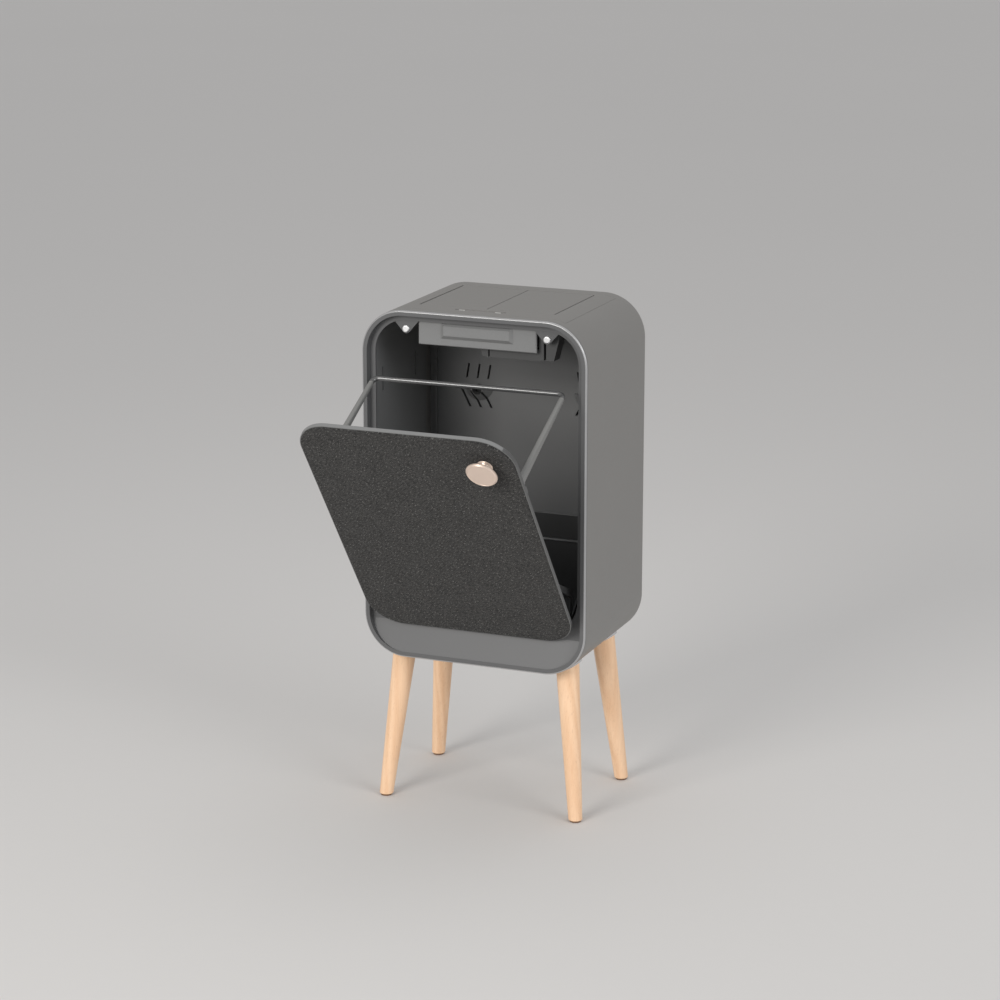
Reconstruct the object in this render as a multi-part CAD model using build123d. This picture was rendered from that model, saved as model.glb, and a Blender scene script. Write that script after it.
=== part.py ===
from build123d import *
import math
import os

# Sensor waste bin on four splayed wooden legs, front door tilted open.
# All values in mm. x right, y depth behind the front plane, z up from the floor.

# Cabinet
WIDTH = 250.0
HEIGHT = 374.2
DEPTH = 180.0
BASE_Z = 164.0
CORNER_R = 46.0
WALL = 3.0
REAR_ROUND = 5.0
REAR_OPEN = 14.0
REAR_SCREW_IN = 27.0
REAR_SCREW_DROP = 37.1
TOP_Z = BASE_Z + HEIGHT
MID_Z = BASE_Z + HEIGHT / 2

# Clearances and common fixings
SEAM = 0.3
SNUG = 0.2
RUN_FIT = 0.05
PRESS = 0.02
SCREW_R = 1.6
SCREW_HEAD_R = 3.0
SCREW_HEAD_H = 1.7
PIN_R = 2.0

# Front bezel
LIP_ROUND = 2.4
BAND = 5.8
RECESS = 8.4
LEDGE_T = 2.6
LEDGE_BACK = RECESS + LEDGE_T
OPENING_INSET = 12.0
OPENING_FOOT = 44.6
OPENING_R = 34.0
PANEL_TOP = 38.0
PANEL_T = 3.0
SHELL_FRONT = 3.2

# Front door, in its own frame: n behind its face, s up from its lower edge
DOOR_TILT = 36.8
TAU = math.radians(DOOR_TILT)
DOOR_GAP = 3.9
DOOR_OPEN_Y = 3.0
DOOR_FOOT = 35.6
DOOR_OPEN_Z = BASE_Z + DOOR_FOOT
PIVOT_S = -1.18
PIVOT_N = 16.1
CLOSED_FOOT = DOOR_FOOT + PIVOT_S * math.cos(TAU) + PIVOT_N * math.sin(TAU) - PIVOT_S
DOOR_W = WIDTH - 2 * (BAND + DOOR_GAP)
DOOR_H = HEIGHT - BAND - DOOR_GAP - CLOSED_FOOT
DOOR_R = 36.0
DOOR_T = 6.0
FABRIC_T = 1.3
FABRIC_EDGE = 0.9
RIB_INSET = 9.0
RIB_T = 2.0
RIB_H = 5.0
STRIKE_X = WIDTH / 2 - 46.7
STRIKE_DROP = 20.8
STRIKE_S = HEIGHT - STRIKE_DROP - CLOSED_FOOT
STRIKE_R = 6.0
STRIKE_T = 1.2
MAGNET_R = 4.1
KNOB_X = DOOR_W / 2 - 32.9
KNOB_S = DOOR_H - 36.5
KNOB_R = 16.2
KNOB_REACH = 12.5
KNOB_NECK_R = 5.2
KNOB_SCREW_R = 1.9
PIVOT_Y = DOOR_OPEN_Y - PIVOT_S * math.sin(TAU) + PIVOT_N * math.cos(TAU)
PIVOT_Z = DOOR_OPEN_Z + PIVOT_S * math.cos(TAU) + PIVOT_N * math.sin(TAU)

# Gooseneck arms and their brackets
ARM_X0 = DOOR_W / 2 - 18.8
ARM_X1 = ARM_X0 + 6.0
ARM_EYE_R = 5.4
ARM_PAD_T = 2.6
ARM_PAD_X0 = ARM_X0 - 7.5
ARM_PAD_MID = ARM_X0 - 3.9
ARM_S0 = 40.0
ARM_S1 = 94.0
ARM_SCREWS_S = (ARM_S0 + 10, ARM_S1 - 10)
LUG_T = 3.6
LUG_FIT = 0.5

# Back wall, side liners and drip tray
BACK_Y = DEPTH - 8.6
BACK_T = 2.4
STEP_Z = BASE_Z + 127.5
STEP_T = 3.0
EDGE_RIB_X = WIDTH / 2 - 11.0
VENT_X = WIDTH / 2 - 61.0
VENT_Z = TOP_Z - 112.2
VENT_PITCH = 12.5
LINER_T = 2.8
LINER_FOOT = 50.0
LINER_DROP = 16.0
LINER_Y0 = 12.2
LINER_Y1 = BACK_Y - 18.4
TRAY_X = WIDTH / 2 - 39.5
TRAY_Y0 = 34.0
TRAY_Y1 = BACK_Y - 5.9
TRAY_Z = BASE_Z + 12.5
TRAY_T = 2.0
TRAY_CORNER = 14.0
TRAY_FRONT_H = 26.0
TRAY_REAR_H = 88.0

# Bag ring on the door
RING_WIRE_R = 2.1
RING_X = DOOR_W / 2 - 10.0
RING_PEG_N = 13.0
RING_BEND_S = DOOR_H - 73.8
RING_BEND_R = 4.0
RING_REAR_N = BACK_Y - 23.2
RING_REAR_S = DOOR_H - 95.3
RING_CORNER_R = 6.5
SOCKET_S1 = DOOR_H - 80.0
SOCKET_S0 = SOCKET_S1 - 11.0
SOCKET_IN = 6.2
SOCKET_OUT = 4.6
SOCKET_FOOT = 9.0
RING_PEG_FOOT_S = SOCKET_S0 + 1.5
RIB_TOP_S = SOCKET_S0 - 8.0
INNER_X = DOOR_W / 2 - 27.3
INNER_T = 2.2
INNER_S0 = 22.0
INNER_S1 = RIB_TOP_S - RIB_T - 4
INNER_SCREW_IN = 10.0

# Top: lid frame, flaps and their drive
LID_X = WIDTH / 2 - 28.6
LID_Y0 = 14.0
LID_Y1 = DEPTH - 18.0
LID_T = 5.2
FLAP_X = LID_X - 20.4
FLAP_Y0 = LID_Y0 + 24.0
FLAP_Y1 = LID_Y1 - 7.0
FLAP_T = 2.6
FLAP_GAP = 0.5
FLAP_SIDE_GAP = 1.7
FLAP_AXIS_X = FLAP_X - 3.2
FLAP_AXIS_DROP = 7.4
FLAP_RIB = 3.0
EAR = 5.5
EAR_R = 3.3
AXIS_Z = TOP_Z - FLAP_AXIS_DROP
SHAFT_R = 1.5
MOTOR_Y0 = LID_Y0 + 1.0
MOTOR_Y1 = FLAP_Y0 - 1.5
MOTOR_HALF_W = 6.0
MOTOR_HALF_H = 5.0
MOTOR_FIT = 0.3
GEARBOX_L = 9.0
WINDOW_X = -2.0
WINDOW_Y = LID_Y0 + 12.0
WINDOW_W = 56.0
WINDOW_H = 7.4
LIGHTS_X = (-22.5, 17.5)

# Control box below the top
PLATE_X = STRIKE_X - 12.8
PLATE_Y = 12.0
PLATE_T = 2.2
PLATE_LOW = TOP_Z - 36.5
BOX_X = PLATE_X - 2.5
BOX_T = 1.8
BOX_TOP = TOP_Z - LID_T - 1.8
BOX_LOW = TOP_Z - 34.0
BOX_Y1 = 36.0
COVER_X = PLATE_X - 25.5
COVER_LOW = TOP_Z - 29.0
COVER_TOP = TOP_Z - OPENING_INSET - 0.4
COVER_RISE = 3.0
CELL_R = 5.1
CELL_L = 43.0
CELL_Y = 20.5
SWITCH_X = 15.0 - BOX_X
SWITCH_Y = 25.0
BOARD_T = 1.6
DRIVE_LOW = TOP_Z - 45.5
DRIVE_Y0 = MOTOR_Y1 - 17.5
DRIVE_Y1 = MOTOR_Y1 - 0.3

# Legs
LEG_TOP_X = WIDTH / 2 - 31.8
LEG_TOP_Y = DEPTH / 2 - 35.9
LEG_MID_Y = DEPTH / 2 - 1.7
LEG_SPLAY_X = 16.4
LEG_SPLAY_Y = 17.3
LEG_TOP_R = 12.4
LEG_FOOT_R = 7.35
GLIDE_R = 6.1
GLIDE_T = 2.0
BOLT_R = 4.0
BOLT_DEEP = 29.0
BOLT_PROUD = 13.2
NUT_R = 6.3
NUT_T = 3.0
NUT_RISE = 9.5
FLANGE_R = 15.4
FLANGE_T = 2.2
FLANGE_SCREW_R = 1.2
FLANGE_SCREW_Y = 9.4
HEAD_SIT = 0.07
CORNERS = [(-1, -1), (1, -1), (-1, 1), (1, 1)]
SIDES = (-1, 1)


def prism(sketch, y0, y1):
    """Extrude a sketch drawn in x and z from depth y0 to depth y1."""
    face = Plane((0, y0, 0), x_dir=(1, 0, 0), z_dir=(0, -1, 0)) * sketch
    return extrude(face, -(y1 - y0))


def side_prism(points, x0, x1):
    """Extrude an outline of (depth, height) points from x0 to x1."""
    outline = Polyline(*[(x0, y, z) for y, z in points], close=True)
    return extrude(make_face(outline), amount=x1 - x0, dir=(1, 0, 0))


def panel(points):
    """A flat outline drawn in x and z."""
    return make_face(Polyline(*points, close=True))


def cabinet(inset, y0, y1):
    """The cabinet's rounded outline, drawn in by an inset."""
    sketch = RectangleRounded(WIDTH - 2 * inset, HEIGHT - 2 * inset, CORNER_R - inset)
    return prism(Pos(0, MID_Z) * sketch, y0, y1)


def skin(inset0, inset1, y0, y1):
    return cabinet(inset0, y0, y1) - cabinet(inset1, y0 - 1, y1 + 1)


def block(x0, x1, y0, y1, z0, z1):
    size = Box(x1 - x0, y1 - y0, z1 - z0)
    return Pos((x0 + x1) / 2, (y0 + y1) / 2, (z0 + z1) / 2) * size


def centred(x, half, y0, y1, z0, z1):
    """A block of a half width about one x."""
    return block(x - half, x + half, y0, y1, z0, z1)


def rod(radius, start, end):
    """A round bar between two points."""
    a = Vector(*start)
    along = Vector(*end) - a
    return Plane(a, z_dir=along) * Cylinder(radius, along.length, align=(Align.CENTER, Align.CENTER, Align.MIN))


def both(shape):
    """A shape and its mirror image across the middle."""
    return [shape, mirror(shape, about=Plane.YZ)]


def group(shapes):
    solids = []
    for shape in shapes:
        solids.extend(shape.solids())
    return Compound(solids)


def screw(radius, head_r, head_h, length):
    """A pan head screw, head up from z = 0 and shank down."""
    head = Pos(0, 0, head_h / 2) * Cylinder(head_r, head_h)
    head = fillet(head.edges().group_by(Axis.Z)[-1], head_h * 0.45)
    slot = Box(head_r * 1.1, head_r * 0.26, head_h)
    cross = Pos(0, 0, head_h) * (slot + Rot(0, 0, 90) * slot)
    return head - cross + Pos(0, 0, -length / 2) * Cylinder(radius, length)


def opening(inset, y0, y1):
    """The bezel's opening, grown by a negative inset."""
    low = BASE_Z + OPENING_FOOT + inset
    high = TOP_Z - OPENING_INSET - inset
    wide = WIDTH - 2 * OPENING_INSET - 2 * inset
    sketch = RectangleRounded(wide, high - low, OPENING_R - inset)
    return prism(Pos(0, (low + high) / 2) * sketch, y0, y1)


# Front bezel: rounded lip, recess for the door, ledge and sloping lower panel
def front_bezel():
    band = cabinet(0, 0, SHELL_FRONT - SEAM)
    band = fillet(band.edges().group_by(Axis.Y)[0], LIP_ROUND)
    band -= cabinet(BAND, -1, RECESS)
    skirt = skin(WALL + SNUG, BAND, SHELL_FRONT - SEAM, LEDGE_BACK)
    ledge = cabinet(BAND, RECESS, LEDGE_BACK) - opening(0, 0, DEPTH)
    foot = BASE_Z + BAND - 1.5
    head = BASE_Z + PANEL_TOP
    slope = [(0, foot), (RECESS, head), (LEDGE_BACK, head), (LEDGE_BACK, head - 2), (PANEL_T, foot)]
    lower = side_prism(slope, -WIDTH, WIDTH)
    lower &= cabinet(BAND - 0.01, -1, DEPTH)
    bezel = band + skirt + ledge + lower
    for side in SIDES:
        bezel += magnet_lug(side)
    return bezel


def magnet_lug(side):
    """A triangular lug with a round nose that hangs behind the bezel's top."""
    top = TOP_Z - OPENING_INSET + 4
    nose = TOP_Z - STRIKE_DROP
    reach = MAGNET_R + 0.7
    half = 17.6
    tip = (reach * 0.8, nose - reach * 0.6)
    body = panel([(-half, top), (half, top), tip, (-tip[0], tip[1])]) + Pos(0, nose) * Circle(reach)
    lug = prism(Pos(side * STRIKE_X, 0) * body, RECESS + 1.0, PLATE_Y - SNUG)
    return lug & cabinet(BAND + 0.01, 0, DEPTH)


def door_magnets():
    beads = []
    for side in SIDES:
        sketch = Pos(side * STRIKE_X, TOP_Z - STRIKE_DROP) * Circle(MAGNET_R)
        bead = prism(sketch, RECESS - 0.9, RECESS + 1.0)
        beads.append(fillet(bead.edges().group_by(Axis.Y)[0], 1.4))
    return group(beads)


# Sheet shell around the cabinet with a turned-in rear flange
def body_shell():
    shell = cabinet(0, SHELL_FRONT, DEPTH)
    shell = fillet(shell.edges().group_by(Axis.Y)[-1], REAR_ROUND)
    shell -= cabinet(WALL, SHELL_FRONT - 1, DEPTH - WALL)
    shell -= cabinet(REAR_OPEN, DEPTH - 10, DEPTH + 1)
    shell -= block(-LID_X, LID_X, LID_Y0, LID_Y1, TOP_Z - 20, TOP_Z + 5)
    for sx, sy in CORNERS:
        shell -= leg_rod(sx, sy, BOLT_R + SNUG, -20, 20)
        for spot in flange_screw_spots(sx, sy):
            shell -= spot * Cylinder(FLANGE_SCREW_R + RUN_FIT, 4 * WALL)
    return shell


REAR_SCREWS = [(sx * (WIDTH / 2 - REAR_SCREW_IN), MID_Z + sz * (HEIGHT / 2 - REAR_SCREW_DROP))
               for sx in SIDES for sz in SIDES]


def rear_cover():
    cover = cabinet(REAR_OPEN + SEAM, DEPTH - WALL - 0.1, DEPTH - 0.4)
    cover = fillet(cover.edges().group_by(Axis.Y)[-1], 0.8)
    cover += cabinet(REAR_OPEN - 6, DEPTH - WALL - 1.8, DEPTH - WALL - 0.1)
    for row in range(6):
        z = BASE_Z + 60 + row * 7
        slot = prism(Pos(0, z) * SlotOverall(80, 2.6), DEPTH - 8, DEPTH + 1)
        cover -= slot
    for x, z in REAR_SCREWS:
        cover -= Pos(x, DEPTH, z) * Rot(90, 0, 0) * Cylinder(SCREW_R + RUN_FIT, 30)
    return cover


def rear_screws():
    one = screw(SCREW_R, SCREW_HEAD_R, SCREW_HEAD_H, 4.6)
    return group([Pos(x, DEPTH - 0.4, z) * Rot(-90, 0, 0) * one for x, z in REAR_SCREWS])


# Inner back wall with a stepped foot, edge ribs and two vent bosses
def slit(x, x0, z0, x1, z1, wide):
    """A slanted slit through the back wall, from its top end to its low end."""
    top = [(x + x0 - wide / 2, VENT_Z + z0), (x + x0 + wide / 2, VENT_Z + z0)]
    low = [(x + x1 + wide / 2, VENT_Z + z1), (x + x1 - wide / 2, VENT_Z + z1)]
    return prism(panel(top + low), BACK_Y - 12, BACK_Y + 5)


def vent(side):
    """Three upright slits over three slanted ones, on the left; mirrored for the right."""
    cuts = []
    for k in range(-1, 2):
        cuts.append(slit(k * VENT_PITCH - VENT_X, 0.8, 23.5, -1.9, 7.5, 2.1))
        cuts.append(slit(k * VENT_PITCH - VENT_X, -7.6, -5.5, 2.3, -24.5, 2.7))
    return cuts if side < 0 else [mirror(cut, about=Plane.YZ) for cut in cuts]


def back_panel():
    wall = cabinet(WALL + 0.4, BACK_Y, BACK_Y + BACK_T)
    step = cabinet(WALL + 2.4, BACK_Y - STEP_T, BACK_Y)
    step &= block(-WIDTH, WIDTH, 0, DEPTH, BASE_Z, STEP_Z)
    wall += chamfer(step.edges().filter_by(Axis.X).group_by(Axis.Z)[-1].sort_by(Axis.Y)[0], 1.0)
    for side in SIDES:
        x = side * EDGE_RIB_X
        rib = centred(x, 1.5, BACK_Y - 4, BACK_Y, STEP_Z - 1, TOP_Z - 52)
        for drop in (86.2, 101.2):
            rib -= centred(x, 4, BACK_Y - 9, BACK_Y - 2, TOP_Z - drop - 1, TOP_Z - drop + 1)
        wall += rib
        boss = Pos(side * VENT_X, BACK_Y, VENT_Z) * Rot(90, 0, 0)
        cone = boss * Cone(17, 8, 7, align=(Align.CENTER, Align.CENTER, Align.MIN))
        wall += cone & block(-WIDTH, WIDTH, 0, DEPTH, VENT_Z - 22, VENT_Z)
        wall -= boss * Pos(0, -4, 0) * Cylinder(5.5, 40)
        for cut in vent(side):
            wall -= cut
    return wall


def side_liner(side):
    """A thin lining that follows the shell's side and turns in with its top corner."""
    liner = skin(WALL + SNUG, WALL + LINER_T, LINER_Y0, LINER_Y1)
    outer = side * WIDTH / 2
    inner = side * (WIDTH / 2 - CORNER_R)
    liner &= block(min(outer, inner), max(outer, inner), 0, DEPTH, BASE_Z + LINER_FOOT, TOP_Z - LINER_DROP)
    for y in (LINER_Y0 + 28, LINER_Y1 - 28):
        liner -= centred(outer, 2 * WALL + 1, y - 1.5, y + 1.5, TOP_Z - 96, TOP_Z - 70)
    return liner


# Removable drip tray: high rear wall, sides that slope down to the front
def drip_tray():
    tall = TRAY_REAR_H + 20
    foot = block(-TRAY_X, TRAY_X, TRAY_Y0, TRAY_Y1, TRAY_Z, TRAY_Z + tall)
    foot = fillet(foot.edges().filter_by(Axis.Z), TRAY_CORNER)
    foot = fillet(foot.edges().group_by(Axis.Z)[0], 6)
    x = TRAY_X - TRAY_T
    hollow = block(-x, x, TRAY_Y0 + TRAY_T, TRAY_Y1 - TRAY_T, TRAY_Z + TRAY_T, TRAY_Z + tall + 10)
    hollow = fillet(hollow.edges().filter_by(Axis.Z), TRAY_CORNER - TRAY_T)
    hollow = fillet(hollow.edges().group_by(Axis.Z)[0], 6 - TRAY_T)
    rim = TRAY_Z + TRAY_REAR_H
    low = TRAY_Z + TRAY_FRONT_H
    trim = [(TRAY_Y0 - 5, low), (TRAY_Y0 + 24, low), (TRAY_Y1 - 30, rim), (TRAY_Y1 + 5, rim)]
    trim += [(TRAY_Y1 + 5, rim + tall), (TRAY_Y0 - 5, rim + tall)]
    tray = foot - hollow - side_prism(trim, -WIDTH, WIDTH)
    reach = TRAY_X - TRAY_CORNER + 2
    lip = block(-reach, reach, TRAY_Y1 - 0.1, TRAY_Y1 + 2.4, rim - 3, rim)
    return tray + fillet(lip.edges().filter_by(Axis.X), 1)


# Hinge brackets fixed behind the bezel's ledge, with their pins
def hinge_brackets():
    low = PIVOT_Z - 10
    back = PIVOT_Y + 5
    base = block(ARM_X0 - LUG_FIT - LUG_T, ARM_X1 + LUG_FIT + LUG_T, LEDGE_BACK + 0.6, back, low, low + 3.4)
    for x in (ARM_X0 - LUG_FIT - LUG_T, ARM_X1 + LUG_FIT):
        lug = block(x, x + LUG_T, LEDGE_BACK, back, low, PIVOT_Z + 5)
        base += fillet(lug.edges().filter_by(Axis.X).group_by(Axis.Z)[-1].sort_by(Axis.Y)[-1], 4.5)
    base -= rod(PIN_R, (ARM_X0 - 9, PIVOT_Y, PIVOT_Z), (ARM_X1 + 9, PIVOT_Y, PIVOT_Z))
    return group(both(base))


def hinge_pins():
    end = LUG_FIT + LUG_T + 0.5
    pin = rod(PIN_R, (ARM_X0 - end, PIVOT_Y, PIVOT_Z), (ARM_X1 + end, PIVOT_Y, PIVOT_Z))
    return group(both(pin))


def stop_pads():
    """Rubber pads on the ledge that the open door's lower edge leans on."""
    z0 = BASE_Z + PANEL_TOP + 1
    pad = centred(DOOR_W / 4 + 4, 10, RECESS - 0.35, RECESS, z0, z0 + 5)
    return group(both(pad))


# The open door's place in the cabinet frame
OPEN = Pos(0, DOOR_OPEN_Y, DOOR_OPEN_Z) * Rot(DOOR_TILT, 0, 0)


def on_door(n, s):
    y = DOOR_OPEN_Y + n * math.cos(TAU) - s * math.sin(TAU)
    z = DOOR_OPEN_Z + n * math.sin(TAU) + s * math.cos(TAU)
    return y, z


def door_slab(inset, n0, n1):
    sketch = RectangleRounded(DOOR_W - 2 * inset, DOOR_H - 2 * inset, DOOR_R - inset)
    return prism(Pos(0, DOOR_H / 2) * sketch, n0, n1)


def door_hole(x, s, radius, n0, n1):
    return prism(Pos(x, s) * Circle(radius), n0, n1)


def door_panel():
    slab = door_slab(0, FABRIC_T, DOOR_T)
    slab = fillet(slab.edges().group_by(Axis.Y)[-1], 1.0)
    rim = door_slab(RIB_INSET, DOOR_T - 0.5, DOOR_T + RIB_H)
    rim -= door_slab(RIB_INSET + RIB_T, 0, DOOR_T + 20)
    rim &= block(-WIDTH, WIDTH, 0, 40, 0, RIB_TOP_S)
    half = DOOR_W / 2 - RIB_INSET
    rim += block(-half, half, DOOR_T - 0.5, DOOR_T + RIB_H, RIB_TOP_S - RIB_T, RIB_TOP_S)
    slab += rim
    slab -= door_hole(KNOB_X, KNOB_S, KNOB_SCREW_R + SEAM, -5, 20)
    for side in SIDES:
        slab -= door_hole(side * STRIKE_X, STRIKE_S, STRIKE_R, DOOR_T - STRIKE_T, DOOR_T + 5)
    return OPEN * slab


def door_fabric():
    cloth = door_slab(FABRIC_EDGE, 0, FABRIC_T)
    cloth = fillet(cloth.edges().group_by(Axis.Y)[0], 1.0)
    cloth -= door_hole(KNOB_X, KNOB_S, KNOB_SCREW_R + SEAM, -5, 20)
    return OPEN * cloth


INNER_MID = (INNER_S0 + INNER_S1) / 2
INNER_SCREWS = [(sx * (INNER_X - INNER_SCREW_IN), s)
                for sx in SIDES for s in (INNER_S0 + 12, INNER_MID, INNER_S1 - 12)]


def door_inner_panel():
    tall = INNER_S1 - INNER_S0
    face = DOOR_T + 1.2
    plate = prism(Pos(0, INNER_MID) * RectangleRounded(2 * INNER_X, tall, 14), DOOR_T, DOOR_T + INNER_T)
    plate = fillet(plate.edges().group_by(Axis.Y)[-1], 0.8)
    plate -= prism(Pos(0, INNER_MID) * RectangleRounded(2 * INNER_X - 44, tall - 60, 10), face, DOOR_T + 6)
    for k in range(-2, 3):
        rib = Pos(k * (INNER_X - 23) / 2.5, INNER_MID) * RectangleRounded(3, tall - 80, 1.4)
        plate += prism(rib, face, DOOR_T + 2.6)
    for x, s in INNER_SCREWS:
        plate -= door_hole(x, s, SCREW_R + RUN_FIT, 0, 20)
    return OPEN * plate


def door_screws():
    one = screw(SCREW_R, SCREW_HEAD_R, SCREW_HEAD_H, 2.1)
    spots = [(x, s, DOOR_T + INNER_T) for x, s in INNER_SCREWS]
    spots += [(sx * ARM_PAD_MID, s, DOOR_T + ARM_PAD_T) for sx in SIDES for s in ARM_SCREWS_S]
    return group([OPEN * Pos(x, n, s) * Rot(-90, 0, 0) * one for x, s, n in spots])


# Gooseneck hinge arms that reach from the door's back to the pins
def hinge_arms():
    low = on_door(DOOR_T, ARM_S0)
    high = on_door(DOOR_T, ARM_S1)
    neck = LEDGE_BACK + 0.7
    sill = BASE_Z + OPENING_FOOT + OPENING_INSET
    points = [(PIVOT_Y, PIVOT_Z - 2), (neck, PIVOT_Z + 2), (neck, sill), (neck - 5, sill + 1.8)]
    points += [low, high, (high[0] + 12, high[1] - 1)]
    points += [(PIVOT_Y + 1, PIVOT_Z + 46), (PIVOT_Y + 5.2, PIVOT_Z + 34), (PIVOT_Y + 5.2, PIVOT_Z)]
    arm = side_prism(points, ARM_X0, ARM_X1)
    arm += rod(ARM_EYE_R, (ARM_X0, PIVOT_Y, PIVOT_Z), (ARM_X1, PIVOT_Y, PIVOT_Z))
    window = [(PIVOT_Y - 1, PIVOT_Z + 17), (PIVOT_Y - 1, PIVOT_Z + 38), (high[0] + 17, high[1] - 8)]
    window += [(low[0] + 3, low[1] + 14), (low[0] + 11, low[1] + 5)]
    hole = side_prism(window, ARM_X0 - 5, ARM_X1 + 5)
    arm -= fillet(hole.edges().filter_by(Axis.X), 2.5)
    pad = block(ARM_PAD_X0, ARM_X0 + 0.1, DOOR_T, DOOR_T + ARM_PAD_T, ARM_S0, ARM_S1)
    pad = fillet(pad.edges().filter_by(Axis.Y).group_by(Axis.X)[0], 3)
    for s in ARM_SCREWS_S:
        pad -= door_hole(ARM_PAD_MID, s, SCREW_R + RUN_FIT, 0, 20)
    arm += OPEN * pad
    arm -= rod(PIN_R + RUN_FIT, (ARM_X0 - 9, PIVOT_Y, PIVOT_Z), (ARM_X1 + 9, PIVOT_Y, PIVOT_Z))
    return group(both(arm))


def strike_plates():
    disc = door_hole(STRIKE_X, STRIKE_S, STRIKE_R, DOOR_T - STRIKE_T, DOOR_T)
    return group(both(OPEN * disc))


# Round pull: turned disc on a waisted stem
def door_knob():
    neck = KNOB_NECK_R
    face = KNOB_REACH - SEAM
    profile = [(0, 0), (neck + 2.8, 0), (neck + 1.2, 1.6), (neck, 3.6), (neck, KNOB_REACH - 6)]
    profile += [(neck + 2.5, KNOB_REACH - 4), (KNOB_R - 0.8, KNOB_REACH - 3.4), (KNOB_R, KNOB_REACH - 2.6)]
    profile += [(KNOB_R, KNOB_REACH - 1.3), (KNOB_R - 1.3, KNOB_REACH), (KNOB_R - 2.0, KNOB_REACH)]
    profile += [(KNOB_R - 2.3, face), (0, face)]
    turned = revolve(make_face(Plane.XZ * Polyline(*profile, close=True)), Axis.Z)
    turned -= Pos(0, 0, 3) * Cylinder(KNOB_SCREW_R, 7)
    return OPEN * Pos(KNOB_X, 0, KNOB_S) * Rot(90, 0, 0) * turned


def knob_screw():
    one = screw(KNOB_SCREW_R, 4.0, 2.2, DOOR_T + 5.5)
    return OPEN * Pos(KNOB_X, DOOR_T, KNOB_S) * Rot(-90, 0, 0) * one


# Bag ring: bent wire that hooks into two sockets on the door
def rounded_path(points, radii):
    """A chain of lines joined by tangent arcs at its inner points."""
    pieces = []
    start = Vector(*points[0])
    for k, radius in enumerate(radii, 1):
        before = Vector(*points[k - 1])
        corner = Vector(*points[k])
        after = Vector(*points[k + 1])
        u = (before - corner).normalized()
        v = (after - corner).normalized()
        half = math.acos(u.dot(v)) / 2
        cut = radius / math.tan(half)
        bisector = (u + v).normalized()
        centre = corner + bisector * (radius / math.sin(half))
        pieces.append(Line(start, corner + u * cut))
        pieces.append(ThreePointArc(corner + u * cut, centre - bisector * radius, corner + v * cut))
        start = corner + v * cut
    pieces.append(Line(start, Vector(*points[-1])))
    return Wire([piece.edges()[0] for piece in pieces])


def ring_wire(radius):
    """The bent wire, in the door's frame."""
    points = []
    for side in SIDES:
        arm = [(side * RING_X, RING_PEG_N, RING_PEG_FOOT_S), (side * RING_X, RING_PEG_N, RING_BEND_S),
               (side * RING_X, RING_REAR_N, RING_REAR_S)]
        points += arm if side < 0 else arm[::-1]
    path = rounded_path(points, [RING_BEND_R, RING_CORNER_R, RING_CORNER_R, RING_BEND_R])
    start = Plane(path.position_at(0), z_dir=path.tangent_at(0))
    return sweep(start * Circle(radius), path=path)


def bag_ring():
    return OPEN * ring_wire(RING_WIRE_R)


SLEEVE_HALF = 3.2
SLEEVE_DEEP = 8.8
SLEEVE_THIN = 5.2


def ring_sleeves():
    """Tapered grips over the ring's side arms, with an elbow that stands on the socket."""
    slope = math.atan2(RING_BEND_S - RING_REAR_S, RING_REAR_N - RING_PEG_N)
    length = (RING_REAR_N - RING_PEG_N) / math.cos(slope)
    near = Plane((0, 0, 2.0)) * Pos(0, -0.6) * RectangleRounded(2 * SLEEVE_HALF, SLEEVE_DEEP, 2.2)
    far = Plane((0, 0, length - RING_CORNER_R - 1.5)) * RectangleRounded(SLEEVE_THIN, SLEEVE_THIN, 2.2)
    grip = loft([near.faces()[0], far.faces()[0]])
    turn = Rot(-90 - math.degrees(slope), 0, 0) * Rot(0, 0, 180)
    grip = Pos(0, RING_PEG_N, RING_BEND_S) * turn * grip
    top = RING_BEND_S + SLEEVE_DEEP / 2 - 1.0
    elbow = block(-SLEEVE_HALF, SLEEVE_HALF, RING_PEG_N - 4.4, RING_PEG_N + 5.4, SOCKET_S1 + SEAM, top)
    elbow = fillet(elbow.edges().filter_by(Axis.X).group_by(Axis.Z)[-1].sort_by(Axis.Y)[0], 4)
    elbow = fillet(elbow.edges().filter_by(Axis.Z), 1.4)
    hollow = ring_wire(RING_WIRE_R + PRESS)
    shapes = [OPEN * (Pos(side * RING_X, 0, 0) * (grip + elbow) - hollow) for side in SIDES]
    return group(shapes)


def ring_sockets():
    x0 = RING_X - SOCKET_IN
    x1 = RING_X + SOCKET_OUT
    socket = block(x0, x1, DOOR_T, RING_PEG_N + 5, SOCKET_S0, SOCKET_S1)
    socket = fillet(socket.edges().filter_by(Axis.Z).group_by(Axis.Y)[-1], 3.5)
    socket = chamfer(socket.edges().group_by(Axis.Z)[0], 1.0)
    socket += block(x0 - SOCKET_FOOT, x0 + 1, DOOR_T, DOOR_T + ARM_PAD_T, SOCKET_S0 + 1, SOCKET_S1 - 1)
    deep = 2 * (SOCKET_S1 - RING_PEG_FOOT_S + 0.1)
    socket -= Pos(RING_X, RING_PEG_N, SOCKET_S1) * Cylinder(RING_WIRE_R + RUN_FIT, deep)
    socket -= door_hole(x0 - SOCKET_FOOT / 2, (SOCKET_S0 + SOCKET_S1) / 2, SCREW_R + RUN_FIT, 0, 30)
    return group(both(OPEN * socket))


def socket_screws():
    one = screw(SCREW_R, SCREW_HEAD_R, SCREW_HEAD_H, 2.5)
    x = RING_X - SOCKET_IN - SOCKET_FOOT / 2
    s = (SOCKET_S0 + SOCKET_S1) / 2
    return group([OPEN * Pos(side * x, DOOR_T + ARM_PAD_T, s) * Rot(-90, 0, 0) * one for side in SIDES])


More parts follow.
